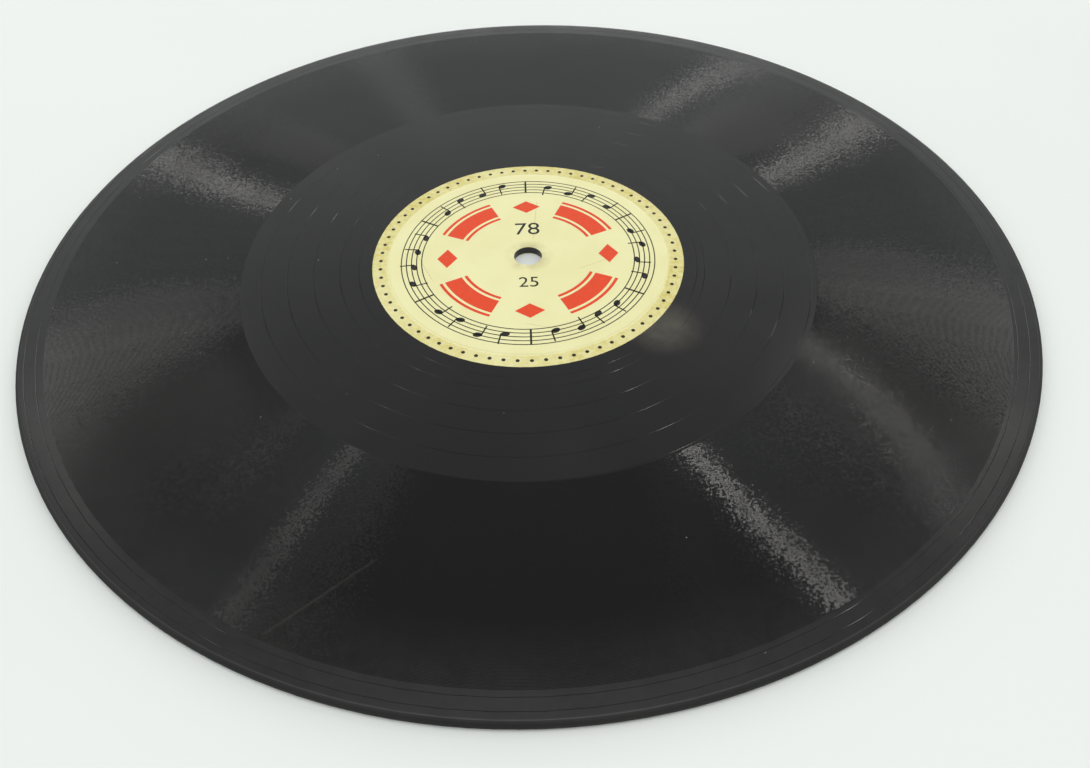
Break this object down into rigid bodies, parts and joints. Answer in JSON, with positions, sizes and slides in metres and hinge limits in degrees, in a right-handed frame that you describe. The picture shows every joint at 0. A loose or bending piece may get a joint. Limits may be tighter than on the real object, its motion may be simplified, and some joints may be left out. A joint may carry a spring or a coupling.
{
  "type": "shellac record",
  "caption": "Flat round shellac gramophone record with a spiral groove, a spindle hole and a round paper label in each face.",
  "frame": {"origin": "on the spindle axis, in the plane that the record lies on", "axes": "+Z out of the upper face along the spindle axis; +Y towards the top of the upper label"},
  "size_m": [0.25, 0.25, 0.0022],
  "materials": {
    "shellac": "pressed shellac compound, glossy on the lands and brushed-looking in the groove",
    "label_paper": "uncoated cream paper, pressed smooth, a little soiled"
  },
  "bodies": {
    "root": {"shellac_disc": "shellac", "upper_label": "label_paper", "lower_label": "label_paper"}
  },
  "joints": []
}
